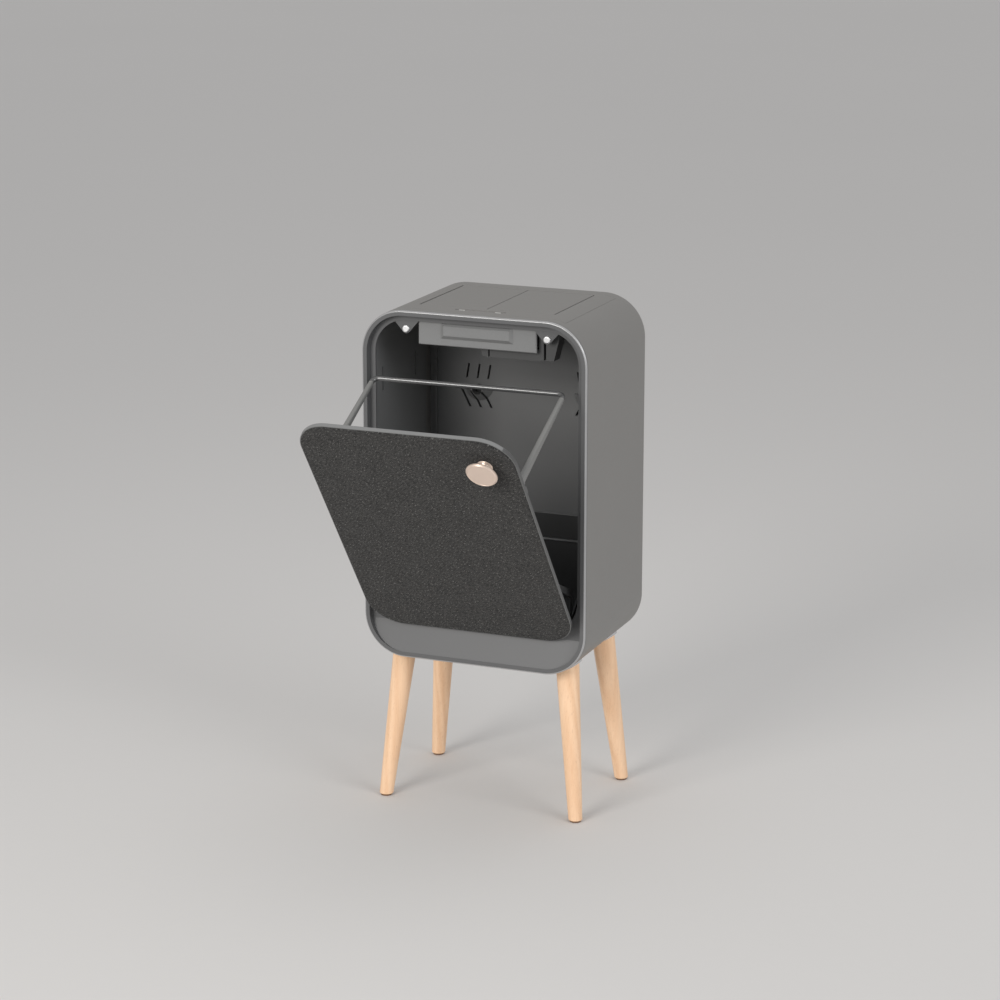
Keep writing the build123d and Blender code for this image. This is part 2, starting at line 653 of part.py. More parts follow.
# Lid frame let into the shell's top, with the two butterfly flaps
def above(shape, x, y0, y1):
    return shape & block(-x, x, y0, y1, TOP_Z - 30, TOP_Z + 5)


def pill(shrink, z0, z1):
    """The sensor window's outline between two heights."""
    sketch = Pos(WINDOW_X, WINDOW_Y) * SlotOverall(WINDOW_W - shrink, WINDOW_H - shrink)
    return extrude(Plane.XY.offset(z0) * sketch, z1 - z0)


def lid_frame():
    tile = above(skin(0, LID_T, 0, DEPTH), LID_X - SEAM, LID_Y0 + SEAM, LID_Y1 - SEAM)
    tile += above(skin(WALL + SNUG, LID_T, 0, DEPTH), LID_X + 4, LID_Y0 - 2.6, LID_Y1 + 3)
    frame = tile - block(-FLAP_X, FLAP_X, FLAP_Y0, FLAP_Y1, TOP_Z - 40, TOP_Z + 5)
    for side in SIDES:
        x = side * FLAP_AXIS_X
        lug = centred(x, 5, FLAP_Y1 + 1, LID_Y1 - 0.6, AXIS_Z - 4.5, TOP_Z - LID_T + 0.5)
        frame += fillet(lug.edges().filter_by(Axis.Y).group_by(Axis.Z)[0], 4)
        frame -= rod(PIN_R + RUN_FIT, (x, FLAP_Y1 - 5, AXIS_Z), (x, LID_Y1 - 1.6, AXIS_Z))
        pocket = centred(x, MOTOR_HALF_W + MOTOR_FIT, MOTOR_Y0 - MOTOR_FIT, MOTOR_Y1 + MOTOR_FIT,
                         TOP_Z - 30, AXIS_Z + MOTOR_HALF_H + MOTOR_FIT)
        frame -= pocket
    return frame - pill(0, TOP_Z - 10, TOP_Z + 10)


def sensor_window():
    lens = pill(SEAM, TOP_Z - LID_T, TOP_Z - SEAM)
    lens = fillet(lens.edges().group_by(Axis.Z)[-1], 0.5)
    for x in LIGHTS_X:
        lens -= Pos(x, WINDOW_Y, TOP_Z) * Box(7.0, 2.4, 1.6)
    return lens


def indicator_lights():
    lights = []
    for x in LIGHTS_X:
        bar = Pos(x, WINDOW_Y, TOP_Z - 0.5) * Box(6.8, 2.2, 0.6)
        lights.append(fillet(bar.edges().filter_by(Axis.Z), 0.9))
    return group(lights)


def sensor_board():
    top = TOP_Z - LID_T - 0.1
    half = WINDOW_W / 2 + 3
    board = centred(WINDOW_X, half, WINDOW_Y - 8.5, WINDOW_Y + 8.5, top - 1.4, top)
    for x in (WINDOW_X - half + 3.5, WINDOW_X + half - 3.5):
        for y in (WINDOW_Y - 5.5, WINDOW_Y + 5.5):
            board -= Pos(x, y, top) * Cylinder(1.2, 10)
    return board


def flap(side):
    x0 = FLAP_GAP
    x1 = FLAP_X - FLAP_SIDE_GAP
    y0 = FLAP_Y0 + FLAP_GAP
    y1 = FLAP_Y1 - FLAP_GAP
    under = TOP_Z - FLAP_T
    plate = block(x0, x1, y0, y1, under, TOP_Z)
    plate = fillet(plate.edges().filter_by(Axis.Z).group_by(Axis.X)[-1], 1.5)
    plate = fillet(plate.edges().group_by(Axis.Z)[-1], 0.35)
    plate += block(x0, x0 + 2.2, y0 + 8, y1 - 8, under - FLAP_RIB, under + 0.2)
    for y in (y0 + 14, (y0 + y1) / 2, y1 - 14):
        plate += block(x0 + 1, x1 - 10, y - 0.9, y + 0.9, under - FLAP_RIB, under + 0.2)
    for y in (y0, y1 - EAR):
        ear = panel([(FLAP_AXIS_X - 9, under + 0.2), (x1 - 0.6, under + 0.2),
                     (FLAP_AXIS_X + 2.0, AXIS_Z), (FLAP_AXIS_X - 3.0, AXIS_Z)])
        ear += Pos(FLAP_AXIS_X, AXIS_Z) * Circle(EAR_R)
        plate += prism(ear, y, y + EAR)
    plate -= rod(PIN_R, (FLAP_AXIS_X, y1 - EAR - 1, AXIS_Z), (FLAP_AXIS_X, y1 + 9, AXIS_Z))
    plate -= rod(SHAFT_R, (FLAP_AXIS_X, y0 - 9, AXIS_Z), (FLAP_AXIS_X, y0 + EAR + 1, AXIS_Z))
    return plate if side > 0 else mirror(plate, about=Plane.YZ)


def flap_shafts(side):
    """Motor shaft at the front and plain pin at the rear, both turning with the flap."""
    x = side * FLAP_AXIS_X
    y0 = FLAP_Y0 + FLAP_GAP
    y1 = FLAP_Y1 - FLAP_GAP
    front = rod(SHAFT_R, (x, MOTOR_Y1 - 6, AXIS_Z), (x, y0 + EAR, AXIS_Z))
    rear = rod(PIN_R, (x, y1 - EAR, AXIS_Z), (x, LID_Y1 - 2.0, AXIS_Z))
    return group([front, rear])


def lid_motors():
    shapes = []
    split = MOTOR_Y1 - GEARBOX_L
    for side in SIDES:
        x = side * FLAP_AXIS_X
        envelope = centred(x, MOTOR_HALF_W, MOTOR_Y0, MOTOR_Y1, AXIS_Z - MOTOR_HALF_H, AXIS_Z + MOTOR_HALF_H)
        motor = rod(MOTOR_HALF_W - SNUG, (x, MOTOR_Y0, AXIS_Z), (x, split + 0.1, AXIS_Z)) & envelope
        motor += envelope & block(-WIDTH, WIDTH, split, MOTOR_Y1, BASE_Z, TOP_Z)
        shapes.append(motor - rod(SHAFT_R + RUN_FIT, (x, MOTOR_Y1 - 7, AXIS_Z), (x, MOTOR_Y1 + 5, AXIS_Z)))
    return group(shapes)


# Control box: face plate, bevelled battery cover, tub and contents
def control_plate():
    plate = block(-PLATE_X, PLATE_X, PLATE_Y, PLATE_Y + PLATE_T, PLATE_LOW, TOP_Z - LID_T - 0.4)
    plate = chamfer(plate.edges().group_by(Axis.Y)[0], 0.8)
    x = COVER_X - 4
    plate -= block(-x, x, PLATE_Y - 5, PLATE_Y + 5, COVER_LOW + 4, COVER_TOP - 1.6)
    return plate


def battery_cover():
    low = Plane((0, PLATE_Y, 0), x_dir=(1, 0, 0), z_dir=(0, -1, 0))
    tall = COVER_TOP - COVER_LOW
    mid = (COVER_TOP + COVER_LOW) / 2
    base = low * (Pos(0, mid) * Rectangle(2 * COVER_X, tall))
    face = low.offset(COVER_RISE) * (Pos(0, mid + 0.4) * Rectangle(2 * COVER_X - 7.4, tall - 6.6))
    raised = loft([base.faces()[0], face.faces()[0]])
    x = COVER_X - 4 - SEAM
    tongue = block(-x, x, PLATE_Y - 0.1, PLATE_Y + PLATE_T, COVER_LOW + 4 + SEAM, COVER_TOP - 1.6 - SEAM)
    return raised + tongue


CELL_ROWS = (BOX_LOW + 9.0, BOX_LOW + 19.4)
CELL_STARTS = (BOX_X - 96.0, BOX_X - 49.0)


def control_box():
    y0 = PLATE_Y + PLATE_T
    tub = block(-BOX_X, BOX_X, y0, BOX_Y1, BOX_LOW, BOX_TOP)
    tub = fillet(tub.edges().filter_by(Axis.Y), 3)
    x = BOX_X - BOX_T
    tub -= block(-x, x, y0 - 1, BOX_Y1 - BOX_T, BOX_LOW + BOX_T, BOX_TOP - BOX_T)
    tub -= centred(SWITCH_X, 7, SWITCH_Y - 3, SWITCH_Y + 3, BOX_LOW - 2, BOX_LOW + 3)
    for x in (7 - BOX_X, 5):
        tub += rod(2.0, (x, BOX_Y1 - 3.0, BOX_LOW + 9), (x, BOX_Y1 - 1.0, BOX_LOW + 9))
    for x in CELL_STARTS:
        for along in (14, 36):
            cradle = centred(x + along, 0.8, CELL_Y - 4, CELL_Y + 4, BOX_LOW + BOX_T - 0.1, CELL_ROWS[0] - 2)
            tub += cradle - rod(CELL_R + PRESS, (x, CELL_Y, CELL_ROWS[0]), (x + CELL_L, CELL_Y, CELL_ROWS[0]))
    return tub


def power_switch():
    x = SWITCH_X - 2.7
    key = centred(x, 2.0, SWITCH_Y - 2.9, SWITCH_Y + 2.9, BOX_LOW - 1.4, BOX_LOW + BOX_T + 0.1)
    key += centred(x, 4.5, SWITCH_Y - 4.5, SWITCH_Y + 4.5, BOX_LOW + BOX_T + 0.05, BOX_LOW + 3.4)
    for k in (-1, 0, 1):
        key -= centred(x + k * 1.1, 0.25, SWITCH_Y - 4, SWITCH_Y + 4, BOX_LOW - 2, BOX_LOW - 0.9)
    return key


def circuit_board():
    back = BOX_Y1 - 3.0
    front = back - BOARD_T
    board = block(4 - BOX_X, 8, front, back, BOX_LOW + 6, BOX_TOP - 3)
    board += centred(29 - BOX_X, 6, front - 1.8, front + 0.1, BOX_LOW + 9, BOX_LOW + 19)
    for x in (9 - BOX_X, 45 - BOX_X):
        board += rod(2.6, (x, front - 5, BOX_LOW + 14), (x, front + 0.1, BOX_LOW + 14))
    return board


def batteries():
    cells = []
    for z in CELL_ROWS:
        for x in CELL_STARTS:
            end = x + CELL_L
            can = rod(CELL_R, (x, CELL_Y, z), (end, CELL_Y, z))
            cells.append(can + rod(1.8, (end - 0.1, CELL_Y, z), (end + 1.3, CELL_Y, z)))
    return group(cells)


def motor_bay(side, y0, y1):
    """The room a lid motor takes in its holder."""
    half = MOTOR_HALF_W + MOTOR_FIT
    return centred(side * FLAP_AXIS_X, half, y0, y1, AXIS_Z - MOTOR_HALF_H - MOTOR_FIT, TOP_Z)


def drive_cover():
    """Hanging housing seen behind the face plate, with the right flap's motor in it."""
    x0 = FLAP_AXIS_X - 8
    floor = block(2, x0 + 3.8, DRIVE_Y0, DRIVE_Y1, DRIVE_LOW, BOX_LOW - 0.1)
    floor = fillet(floor.edges().filter_by(Axis.Y).group_by(Axis.Z)[0].sort_by(Axis.X)[0], 5)
    floor -= block(9.5, 11.2, DRIVE_Y0 - 9, DRIVE_Y0 + 5, DRIVE_LOW - 1, BOX_LOW)
    top = TOP_Z - LID_T - 2
    tower = [(x0, DRIVE_LOW + 0.6), (x0 + 17, DRIVE_LOW + 0.6), (x0 + 24, TOP_Z - 17), (x0 + 24, top), (x0, top)]
    cheek = prism(panel(tower), DRIVE_Y0, DRIVE_Y1)
    cheek -= motor_bay(1, DRIVE_Y0 - 9, DRIVE_Y1 + 9)
    groove = AXIS_Z - MOTOR_HALF_H - 4
    cheek -= centred(FLAP_AXIS_X - 0.7, 1.3, DRIVE_Y0 - 9, DRIVE_Y0 + 11, DRIVE_LOW - 1, groove)
    cheek = chamfer(cheek.edges().filter_by(Axis.Z).group_by(Axis.Y)[0].group_by(Axis.X)[0], 0.8)
    return floor + cheek


def motor_clip():
    """Saddle that holds the left flap's motor under the lid frame."""
    low = AXIS_Z - MOTOR_HALF_H - 2
    clip = centred(-FLAP_AXIS_X, MOTOR_HALF_W + 2, DRIVE_Y0 - 2, DRIVE_Y0 + 14, low, TOP_Z - LID_T - SNUG)
    clip = fillet(clip.edges().filter_by(Axis.Y).group_by(Axis.Z)[0], 3)
    return clip - motor_bay(-1, 0, DEPTH)


# Legs: tapered round legs coped to curved flanges, each with a bolt and two screws
def leg_point(sx, sy, drop):
    """A point on a leg's centre line, a drop below the cabinet's underside."""
    k = drop / BASE_Z
    x = sx * (LEG_TOP_X + LEG_SPLAY_X * k)
    y = LEG_MID_Y + sy * (LEG_TOP_Y + LEG_SPLAY_Y * k)
    return (x, y, BASE_Z - drop)


def leg_rod(sx, sy, radius, drop0, drop1):
    return rod(radius, leg_point(sx, sy, drop0), leg_point(sx, sy, drop1))


def leg_plane(sx, sy, drop):
    a = Vector(*leg_point(sx, sy, drop))
    along = Vector(*leg_point(sx, sy, drop - 10)) - a
    return Plane(a, z_dir=along, x_dir=Vector(sx, sy, 0).cross(along))


def flange_screw_spots(sx, sy):
    """Two seats inside the shell's curved corner, square to it, before and behind a leg's bolt."""
    middle = WIDTH / 2 - CORNER_R
    tilt = math.asin((LEG_TOP_X - middle) / CORNER_R)
    seat = CORNER_R - WALL - HEAD_SIT
    x = sx * (middle + seat * math.sin(tilt))
    z = BASE_Z + CORNER_R - seat * math.cos(tilt)
    y = LEG_MID_Y + sy * LEG_TOP_Y
    up = (-sx * math.sin(tilt), 0, math.cos(tilt))
    return [Plane((x, y + k * FLANGE_SCREW_Y, z), z_dir=up, x_dir=(0, 1, 0)).location for k in SIDES]


def leg_flange(sx, sy):
    plate = leg_rod(sx, sy, FLANGE_R, -20, 12) & cabinet(-FLANGE_T, -20, DEPTH + 20)
    plate -= cabinet(0, -30, DEPTH + 30)
    plate -= leg_rod(sx, sy, BOLT_R + RUN_FIT, -20, 20)
    for spot in flange_screw_spots(sx, sy):
        plate -= spot * Cylinder(FLANGE_SCREW_R + RUN_FIT, 8 * WALL)
    return plate


def leg(sx, sy):
    rise = 16.0
    taper = (LEG_TOP_R - LEG_FOOT_R) / BASE_Z
    foot = Vector(*leg_point(sx, sy, BASE_Z + 6))
    head = leg_plane(sx, sy, -rise)
    length = (foot - head.origin).length
    low_r = LEG_FOOT_R - taper * 6
    high_r = LEG_TOP_R + taper * rise
    shape = head.location * Cone(low_r, high_r, length, align=(Align.CENTER, Align.CENTER, Align.MAX))
    shape -= cabinet(-FLANGE_T, -30, DEPTH + 30)
    shape -= block(-2 * WIDTH, 2 * WIDTH, -DEPTH, 2 * DEPTH, -50, GLIDE_T)
    shape = fillet(shape.edges().sort_by(Axis.Z)[0], 0.9)
    return shape - leg_rod(sx, sy, BOLT_R + PRESS, -20, BOLT_DEEP + 1)


def leg_bolt(sx, sy):
    bolt = leg_rod(sx, sy, BOLT_R, -BOLT_PROUD, BOLT_DEEP)
    washer = leg_rod(sx, sy, NUT_R + 0.1, 0, -NUT_RISE - 0.1) & cabinet(WALL + PRESS, 0, DEPTH - 10)
    nut = leg_plane(sx, sy, -NUT_RISE).location * extrude(RegularPolygon(NUT_R, 6), NUT_T)
    return bolt + nut + washer


def leg_glide(sx, sy):
    x, y, z = leg_point(sx, sy, BASE_Z - GLIDE_T)
    pad = Pos(x, y, GLIDE_T / 2) * Cylinder(GLIDE_R, GLIDE_T)
    return fillet(pad.edges().sort_by(Axis.Z)[0], 0.7)


def flange_screws():
    one = screw(FLANGE_SCREW_R, 2.2, 1.2, WALL + FLANGE_T - SNUG)
    return group([spot * one for sx, sy in CORNERS for spot in flange_screw_spots(sx, sy)])


nodes = {}
nodes["body_shell"] = body_shell()
nodes["front_bezel"] = front_bezel()
nodes["rear_cover"] = rear_cover()
nodes["rear_screws"] = rear_screws()
nodes["back_panel"] = back_panel()
nodes["side_liner_left"] = side_liner(-1)
nodes["side_liner_right"] = side_liner(1)
nodes["drip_tray"] = drip_tray()
nodes["door_magnets"] = door_magnets()
nodes["hinge_brackets"] = hinge_brackets()
nodes["hinge_pins"] = hinge_pins()
nodes["door_stop_pads"] = stop_pads()
nodes["door_panel"] = door_panel()
nodes["door_fabric"] = door_fabric()
nodes["door_inner_panel"] = door_inner_panel()
nodes["door_screws"] = door_screws()
nodes["hinge_arms"] = hinge_arms()
nodes["strike_plates"] = strike_plates()
nodes["door_knob"] = door_knob()
nodes["knob_screw"] = knob_screw()
nodes["ring_sockets"] = ring_sockets()
nodes["socket_screws"] = socket_screws()
nodes["bag_ring"] = bag_ring()
nodes["ring_sleeves"] = ring_sleeves()
nodes["lid_frame"] = lid_frame()
nodes["flap_left"] = flap(-1)
nodes["flap_right"] = flap(1)
nodes["flap_shafts_left"] = flap_shafts(-1)
nodes["flap_shafts_right"] = flap_shafts(1)
nodes["lid_motors"] = lid_motors()
nodes["sensor_window"] = sensor_window()
nodes["indicator_lights"] = indicator_lights()
nodes["sensor_board"] = sensor_board()
nodes["control_plate"] = control_plate()
nodes["battery_cover"] = battery_cover()
nodes["control_box"] = control_box()
nodes["circuit_board"] = circuit_board()
nodes["batteries"] = batteries()
nodes["drive_cover"] = drive_cover()
nodes["motor_clip"] = motor_clip()
nodes["power_switch"] = power_switch()
for name, (sx, sy) in zip(("front_left", "front_right", "rear_left", "rear_right"), CORNERS):
    nodes["leg_" + name] = leg(sx, sy)
nodes["leg_flanges"] = group([leg_flange(sx, sy) for sx, sy in CORNERS])
nodes["leg_bolts"] = group([leg_bolt(sx, sy) for sx, sy in CORNERS])
nodes["leg_glides"] = group([leg_glide(sx, sy) for sx, sy in CORNERS])
nodes["flange_screws"] = flange_screws()

# Centre the whole bin, door open, over the origin and write one file a node
low_y = min(shape.bounding_box().min.Y for shape in nodes.values())
high_y = max(shape.bounding_box().max.Y for shape in nodes.values())
SHIFT_Y = -(low_y + high_y) / 2
os.makedirs("parts", exist_ok=True)
for name, shape in nodes.items():
    export_step(Pos(0, SHIFT_Y, 0) * shape, "parts/" + name + ".step")
print("shift_y", SHIFT_Y, "pivot", PIVOT_Y + SHIFT_Y, PIVOT_Z, "flap axis", FLAP_AXIS_X, AXIS_Z)
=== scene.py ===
import math

import bmesh
import bpy
from mathutils import Matrix, Vector


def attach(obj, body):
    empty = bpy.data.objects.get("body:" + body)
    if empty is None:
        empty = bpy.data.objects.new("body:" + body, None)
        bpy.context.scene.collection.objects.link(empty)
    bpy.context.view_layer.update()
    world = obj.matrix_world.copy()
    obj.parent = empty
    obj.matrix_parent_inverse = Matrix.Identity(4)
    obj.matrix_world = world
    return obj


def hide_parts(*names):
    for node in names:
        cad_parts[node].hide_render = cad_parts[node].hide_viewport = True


bl_info = {
    "name": "Sensor Waste Bin",
    "version": (1, 0, 0),
    "blender": (4, 5, 0),
    "location": "View3D > Sidebar > Waste Bin",
    "description": "Dresses a sensor waste bin with a tilting cloth-faced door and wooden legs",
    "category": "Object",
}

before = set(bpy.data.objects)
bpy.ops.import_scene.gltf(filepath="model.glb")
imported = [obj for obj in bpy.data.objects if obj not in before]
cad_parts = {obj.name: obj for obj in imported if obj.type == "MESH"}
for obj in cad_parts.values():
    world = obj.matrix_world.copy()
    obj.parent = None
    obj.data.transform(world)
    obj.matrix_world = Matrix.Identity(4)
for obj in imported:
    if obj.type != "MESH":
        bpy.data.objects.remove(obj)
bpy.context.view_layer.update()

# The cabinet in metres: its front face, its underside and places in it
FRONT_Y = 0.002931
BASE_Z = 0.164
EDGE_ROLL = 0.0024
BACK_STEP_Z = BASE_Z + 0.1267
TRAY_LIP_Y = 0.1635 + FRONT_Y - 0.0006
TRAY_LIP_Z = BASE_Z + 0.1005 - 0.001
TRAY_LIP_REACH = 0.0725
TRAY_LIP_R = 0.0012

# The door: its face at full tilt, measured from the middle of its foot
DOOR_TILT = math.radians(36.8)
DOOR_W = 0.2306
DOOR_H = 0.319021
DOOR_R = 0.036
DOOR_FOOT = (0, 0.003 + FRONT_Y, BASE_Z + 0.0356)
DOOR_PLACE = Matrix.Translation(DOOR_FOOT) @ Matrix.Rotation(DOOR_TILT, 4, "X")

# The cloth's margin inside the door's edge, and its rolled edge: how far in and how deep
CLOTH_EDGE = 0.0009
CLOTH_SECTION = [(0, 0.0013), (0, 0.0007), (0.0002, 0.0003), (0.0007, 0.00004), (0.0014, -0.00005),
                 (0.003, 0.0), (0.012, 0.0), (0.030, 0.0)]

# The bag ring's rear bar: its place, its bends and how its arms rise to the rear
RING_ARM_X = 0.1053
RING_BAR_Y = -0.0094
RING_BAR_Z = 0.4675
RING_RISE = Vector((0.8847, 0.4662))
RING_BEND = 0.0065
RING_BEND_STEPS = 8
RING_TAIL = 0.0025
RING_BAR_R = 0.00265

# How far a face must turn towards an axis, 1 being all the way, to take painted light: the painted
# highlight on the bezel's edge, and painted shade inside the rear cover and on the door's flanks
EDGE_TURN = (-0.97, -0.08)
COVER_TURN = -0.2
FLANK_TURN = 0.75

# The wood grain's direction in each leg, as a turn about x, y and z in radians
LEG_TURNS = {
    "leg_front_left": (0.1, 0.1, 0.3),
    "leg_front_right": (0.1, -0.1, 1.7),
    "leg_rear_left": (-0.1, 0.1, 2.9),
    "leg_rear_right": (-0.1, -0.1, 4.2),
}

# The stage: each lamp has a place, a side and a colour, and faces the object's middle
MIDDLE = Vector((0, 0, 0.33))
LAMPS = {
    "key": ((-0.75, -2.75, 1.4), 1.3, (1.0, 0.985, 0.96)),
    "fill": ((2.5, -1.05, 1.6), 1.6, (0.97, 0.985, 1.0)),
    "top": ((0.4, 0.9, 2.6), 1.6, (1, 1, 1)),
}
LAMP_SPREAD = math.radians(80)
TOP_SHARE = 0.1
AIR_COLOUR = (0.94, 0.955, 0.98)
BACKDROP_SHADE = 0.62
FLOOR_RADIUS = 30.0
CAMERA_PLACE = (1.1461, -2.73814 + FRONT_Y, 1.1157)
CAMERA_TURN = (math.radians(90 - 14.57), 0, math.radians(22.17))
CAMERA_REACH = 60


# Shader maths on sockets
SOCKET_NAMES = {
    "color": "Base Color",
    "roughness": "Roughness",
    "metallic": "Metallic",
    "normal": "Normal",
    "coat": "Coat Weight",
    "sheen": "Sheen Weight",
    "sheen_roughness": "Sheen Roughness",
    "specular": "Specular IOR Level",
}


class Value:
    """An output socket that takes part in Python expressions."""

    def __init__(self, shader, socket):
        self.shader = shader
        self.socket = socket

    def _math(self, operation, a, b):
        """Add one Math node on two values or numbers."""
        return self.shader.node("ShaderNodeMath", {"operation": operation}, {0: a, 1: b})

    def __add__(self, other):
        return self._math("ADD", self, other)

    def __radd__(self, other):
        return self._math("ADD", other, self)

    def __sub__(self, other):
        return self._math("SUBTRACT", self, other)

    def __rsub__(self, other):
        return self._math("SUBTRACT", other, self)

    def __mul__(self, other):
        return self._math("MULTIPLY", self, other)

    def __rmul__(self, other):
        return self._math("MULTIPLY", other, self)


class Shader:
    """One material's node tree around a Principled BSDF, or the world's tree."""

    def __init__(self, name, world=None):
        self.material = world or bpy.data.materials.new(name)
        self.material.use_nodes = True
        self.tree = self.material.node_tree
        self.bsdf = next((n for n in self.tree.nodes if n.type == "BSDF_PRINCIPLED"), None)
        self.coords = None

    def node(self, kind, settings=None, inputs=None, out=0):
        """Add a node, its settings first and then the values or links of its sockets."""
        node = self.tree.nodes.new(kind)
        for key, value in (settings or {}).items():
            setattr(node, key, value)
        for key, value in (inputs or {}).items():
            self.feed(node.inputs[key], value)
        return Value(self, node.outputs[out])

    def feed(self, socket, value):
        """Link a Value to a socket, or set the socket to a plain number or colour."""
        if isinstance(value, Value):
            self.tree.links.new(value.socket, socket)
        elif isinstance(value, (tuple, list)) and len(value) == 3 and socket.type == "RGBA":
            socket.default_value = (*value, 1)
        else:
            socket.default_value = value

    def place(self, scale=(1, 1, 1), turn=(0, 0, 0), lean=None):
        """Object coordinates in metres, leaned first where asked, then scaled and turned."""
        if self.coords is None:
            self.coords = self.node("ShaderNodeTexCoord", out="Object")
        spot = self.coords
        if lean is not None:
            leaned = (0, math.radians(lean), 0)
            spot = self.node("ShaderNodeMapping", {}, {"Vector": spot, "Rotation": leaned})
        return self.node("ShaderNodeMapping", {}, {"Vector": spot, "Rotation": turn, "Scale": scale})

    def noise(self, scale, detail=2.0, rough=0.5, at=None):
        """Soft noise round one half."""
        sockets = {"Vector": at or self.place(), "Scale": scale, "Detail": detail, "Roughness": rough}
        return self.node("ShaderNodeTexNoise", {}, sockets)

    def ramp(self, value, low, high):
        """Stretch a value so that low becomes 0 and high becomes 1."""
        sockets = {"Value": value, "From Min": low, "From Max": high}
        return self.node("ShaderNodeMapRange", {"clamp": True}, sockets)

    def mix(self, factor, a, b):
        """Blend two colours."""
        return self.node("ShaderNodeMix", {"data_type": "RGBA"}, {0: factor, 6: a, 7: b}, out=2)

    def bump(self, height, distance, strength=1.0):
        """Raise the surface by a height of one over a distance in metres."""
        sockets = {"Strength": strength, "Distance": distance, "Height": height}
        return self.node("ShaderNodeBump", {}, sockets)

    def set(self, **sockets):
        """Feed the Principled BSDF's sockets and give the material back."""
        for key, value in sockets.items():
            self.feed(self.bsdf.inputs[SOCKET_NAMES[key]], value)
        return self.material


# Finishes
def shade(colour, gain):
    """A colour made darker or lighter."""
    return tuple(min(1.0, c * gain) for c in colour)


def moulded(name, colour, roughness=0.45, grain=0.00005, size=1500, spread=0.06, specular=0.5, coat=0.0):
    """Moulded plastic: fine spark-eroded grain, faint cloudy tone and polish that wanders."""
    shader = Shader(name)
    cloud = shader.noise(9, 3)
    fine = shader.noise(size, 2, 0.6)
    sand = shader.noise(700, 2, 0.7)
    tone = shader.ramp(cloud * 0.4 + fine * 0.2 + sand * 0.4, 0.32, 0.68)
    return shader.set(
        color=shader.mix(tone, shade(colour, 1 - spread), shade(colour, 1 + spread)),
        roughness=roughness + (cloud - 0.5) * 0.12,
        specular=specular,
        coat=coat,
        normal=shader.bump(fine, grain, 0.6),
    )


def metal(name, colour, roughness=0.3, along="Z", metallic=1.0):
    """Drawn or turned metal with fine lines along one axis."""
    shader = Shader(name)
    scale = {"X": (40, 2600, 2600), "Y": (2600, 40, 2600), "Z": (2600, 2600, 40)}[along]
    lines = shader.noise(1, 2, 0.6, shader.place(scale))
    smear = shader.noise(60, 2)
    return shader.set(
        color=shader.mix(smear, shade(colour, 0.93), shade(colour, 1.05)),
        metallic=metallic,
        roughness=roughness + (lines - 0.5) * 0.14,
        normal=shader.bump(lines, 0.00002, 0.5),
    )


def lacquered(name, colour, roughness=0.35):
    """Lacquered metal: a thin even coat with slight orange peel."""
    shader = Shader(name)
    peel = shader.noise(420, 1)
    cloud = shader.noise(22, 2)
    return shader.set(
        color=shader.mix(cloud, shade(colour, 0.92), shade(colour, 1.08)),
        metallic=0.55,
        roughness=roughness + (cloud - 0.5) * 0.1,
        normal=shader.bump(peel, 0.00003, 0.5),
    )


def woven(name, colour, thread, sheen):
    """Charcoal melange cloth: twill ribs, slubs of uneven shade and pale loose fibres."""
    shader = Shader(name)
    ribs_per_metre = 1.0 / thread
    rib = shader.node(
        "ShaderNodeTexWave",
        {"wave_type": "BANDS", "bands_direction": "X", "wave_profile": "SIN"},
        {"Vector": shader.place(lean=-40), "Scale": ribs_per_metre * 0.20, "Distortion": 3.0,
         "Detail": 2.0, "Detail Scale": 2.2},
    )
    slub = shader.ramp(shader.noise(1, 2, 0.6, shader.place((220, 220, 600), lean=40)), 0.36, 0.64)
    speck = shader.noise(1, 2, 0.6, shader.place((370, 370, 900), lean=50))
    fuzz = shader.ramp(shader.noise(1100, 3, 0.7), 0.34, 0.66)
    patch = shader.noise(38, 3, 0.6)
    weave = rib * 0.2 + slub * 0.45 + fuzz * 0.35
    pale = shader.ramp(speck, 0.60, 0.67)
    tone = shader.ramp(weave + patch * 0.3, 0.36, 0.94)
    deep = shader.mix(tone, shade(colour, 0.30), shade(colour, 1.6))
    return shader.set(
        color=shader.mix(pale * 0.85, deep, shade(colour, 5.6)),
        roughness=0.93,
        sheen=sheen,
        sheen_roughness=0.45,
        specular=0.25,
        normal=shader.bump(weave * 0.7 + pale * 0.5, 0.0002, 0.7),
    )


def beech(name, colour, dark, turn):
    """Oiled beech: long grain, slow rings and short dark flecks."""
    shader = Shader(name)
    long = shader.noise(1, 4, 0.6, shader.place((130, 130, 6), turn))
    fibre = shader.noise(1, 3, 0.7, shader.place((900, 900, 22), turn))
    fleck = shader.noise(1, 2, 0.5, shader.place((1500, 1500, 150), turn))
    rings = shader.node(
        "ShaderNodeTexWave",
        {"wave_type": "BANDS", "bands_direction": "X"},
        {"Vector": shader.place((1, 1, 0.05), turn), "Scale": 42.0, "Distortion": 5.0,
         "Detail": 2.0, "Detail Scale": 1.2},
    )
    grain = shader.ramp(long * 0.4 + fibre * 0.4 + rings * 0.2, 0.3, 0.75)
    spots = shader.ramp(fleck, 0.62, 0.74)
    body = shader.mix(grain, dark, colour)
    return shader.set(
        color=shader.mix(spots * 0.55, body, shade(dark, 0.72)),
        roughness=0.42 + (fibre - 0.5) * 0.25,
        specular=0.4,
        coat=0.06,
        normal=shader.bump(fibre * 0.6 - spots * 0.5, 0.00006, 0.6),
    )


def paint(material, *names):
    """Give CAD nodes a material in every slot."""
    for name in names:
        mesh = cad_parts[name].data
        mesh.materials.clear()
        mesh.materials.append(material)


def paint_light_and_shade(name, material, test):
    """Put painted highlight or painted shade, as a second material, on the faces of a node that pass a test
    of place, direction and top.
    """
    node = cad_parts[name]
    mesh = node.data
    mesh.materials.append(material)
    for polygon in mesh.polygons:
        spot = node.matrix_world @ polygon.center
        turn = (node.matrix_world.to_3x3() @ polygon.normal).normalized()
        top = max((node.matrix_world @ mesh.vertices[v].co).z for v in polygon.vertices)
        if test(spot, turn, top):
            polygon.material_index = 1


